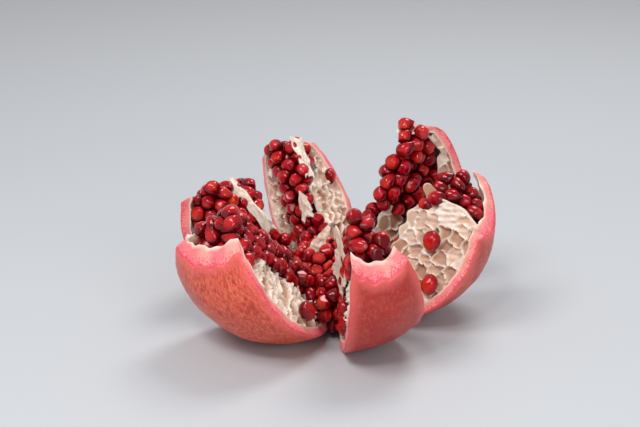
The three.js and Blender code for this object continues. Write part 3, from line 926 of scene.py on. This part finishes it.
def add_sheet(parts, number, where):
    """A torn, wrinkled sheet that where(u, v) lays out as points and face directions."""
    us, vs, ws = np.linspace(0, 1, 60), np.linspace(0, 1, 40), np.linspace(0, 1, 3)
    for u, v, w in box_patches(us, vs, ws):
        flat = np.stack([u * 16, v * 10, 0 * u + number * 40], axis=-1)
        tear = 0.08 * ripple(flat, 6.0, 300 + number) + 0.01 * ripple(flat, 2.0, 330 + number)
        points, way = where(u + tear * (2 * u - 1) ** 3, v + tear * (2 * v - 1) ** 3)
        wrinkle = 0.5 * ripple(flat, 6.0, 310 + number) + 0.15 * ripple(flat, 2.0, 320 + number)
        off_plane = wrinkle + SHEET_THICKNESS * (w - 0.5)
        parts.add(points + off_plane[..., None] * way, grid_faces(*u.shape), spot=flat)


def wedge_sheet(sheet):
    lobe = LOBE[sheet["lobe"]]
    origin = place(np.zeros((1, 3)), lobe)

    def where(u, v):
        polar = sheet["start"] + u * (sheet["end"] - sheet["start"])
        height = FRUIT_RADIUS - INNER_RADIUS * np.cos(np.radians(polar))
        near = sheet["near"][0] + u * (sheet["near"][1] - sheet["near"][0])
        far = sheet["far"][0] + u * (sheet["far"][1] - sheet["far"][0])
        angle = (sheet["across"] + v * sheet["turn"]) * lobe["half_width"]
        arch = 3.0 * np.sin(math.pi * v) * (sheet["turn"] > 0)
        aside = off_axis(1.0, 0.0, angle + 90)
        closed = off_axis(near + v * (far - near) - arch, height + arch, angle)
        closed = closed + (sheet["lift"] * (1 - v) ** 2)[..., None] * aside
        outwards = aside if sheet["turn"] == 0 else off_axis(1.0, 0.0, angle)
        return place(closed, lobe), place(outwards, lobe) - origin

    return where


def centre_sheet(u, v):
    """The torn membrane that stands up out of the seeds in the middle."""
    foot, tip = np.array([-11.5, -6.0, 29.0]), np.array([-3.5, -5.0, 43.0])
    along = unit(tip - foot)
    face = np.array([0.0, -1.0, 0.0])
    sideways = unit(np.cross(along, face))
    half = 3.6 * (1 - 0.75 * u * u)
    points = foot + u[..., None] * (tip - foot) + ((2 * v - 1) * half)[..., None] * sideways
    return points + SHIFT, np.broadcast_to(face, points.shape)


def build_membranes(material):
    laid = [(sheet["node"], wedge_sheet(sheet)) for sheet in SHEETS]
    laid.append(("membrane_centre", centre_sheet))
    for number, (node, where) in enumerate(laid):
        parts = Parts(spot=3)
        add_sheet(parts, number, where)
        parts.build("torn_" + node[9:], material, [node], merge=0.005)


# ---- camera, light and floor ---------------------------------------------------

def build_stage():
    s = Shader("floor")
    spot = s.node("TexCoord").outputs["Object"]
    split = s.node("SeparateXYZ")
    s.feed(split.inputs[0], spot)
    # painted light: the floor is painted lighter towards the back, to set how bright the far floor
    # looks
    back = s.ramp(split.outputs["Y"], 0.1, 1.0)
    s.finish(Base_Color=s.mix(back, (0.46, 0.475, 0.49), (0.56, 0.565, 0.575)), Roughness=0.6)
    mesh = bpy.data.meshes.new("floor")
    mesh.from_pydata([(-6, -6, 0), (6, -6, 0), (6, 6, 0), (-6, 6, 0)], [], [(0, 1, 2, 3)])
    mesh.materials.append(s.material)
    floor = bpy.data.objects.new("floor", mesh)
    bpy.context.scene.collection.objects.link(floor)


def add_light(name, place_at, aim, size, watts, colour=(1, 1, 1)):
    data = bpy.data.lights.new(name, "AREA")
    data.shape = "DISK"
    data.size, data.energy, data.color = size, watts, colour
    lamp = bpy.data.objects.new(name, data)
    lamp.location = place_at
    lamp.rotation_euler = (Vector(aim) - Vector(place_at)).to_track_quat("-Z", "Y").to_euler()
    bpy.context.scene.collection.objects.link(lamp)


def build_camera():
    """A long lens from the front, 23 degrees above the table."""
    distance, elevation = 0.650, math.radians(23.0)
    stem = Vector(SHIFT * MM)
    data = bpy.data.cameras.new("camera")
    data.lens, data.sensor_width = 77.5, 36.0
    camera = bpy.data.objects.new("camera", data)
    camera.location = stem + Vector((0, -math.cos(elevation), math.sin(elevation))) * distance
    camera.rotation_euler = (math.radians(90 - 23.0 + 4.0), 0, math.radians(0.74))
    bpy.context.scene.collection.objects.link(camera)
    bpy.context.scene.camera = camera


def build_world():
    world = bpy.data.worlds.new("studio")
    world.use_nodes = True
    background = world.node_tree.nodes["Background"]
    background.inputs["Color"].default_value = (0.93, 0.95, 1.0, 1)
    background.inputs["Strength"].default_value = 0.47
    bpy.context.scene.world = world


# ---- assembly ------------------------------------------------------------------

bpy.context.scene.view_settings.view_transform = "Standard"
build_stage()
build_camera()
build_world()
middle = (cad_box[0] + cad_box[1]) / 2
add_light("key", (-0.40, -0.35, 0.80), middle, 0.44, 4.4)
add_light("sparkle", (-0.15, -0.55, 0.75), middle, 0.13, 1.6)
add_light("top", (0.25, 0.35, 0.85), middle, 0.44, 4.2)
add_light("front", (0.40, -0.95, 0.45), middle, 0.60, 3.6)

rind = Parts(depth=1, meridian=3, rim=1, skin=1, scar=1)
for number, lobe in enumerate(LOBES):
    add_shell(rind, lobe, 100 + 10 * number)
add_stem_plate(rind)
rind.build("rind_shell", rind_material(), ["rind"], merge=0.01, sharp=50)

pith = Parts(pit=1, spot=3, rim=1)
for number, lobe in enumerate(LOBES):
    for count, pad in enumerate(lobe["pith"]):
        add_pith(pith, lobe, pad, 200 + 10 * number + 3 * count)
pith.build("rind_pith", pith_material(), ["rind"], merge=0.01, sharp=70)

build_membranes(membrane_material())
build_arils(aril_material())
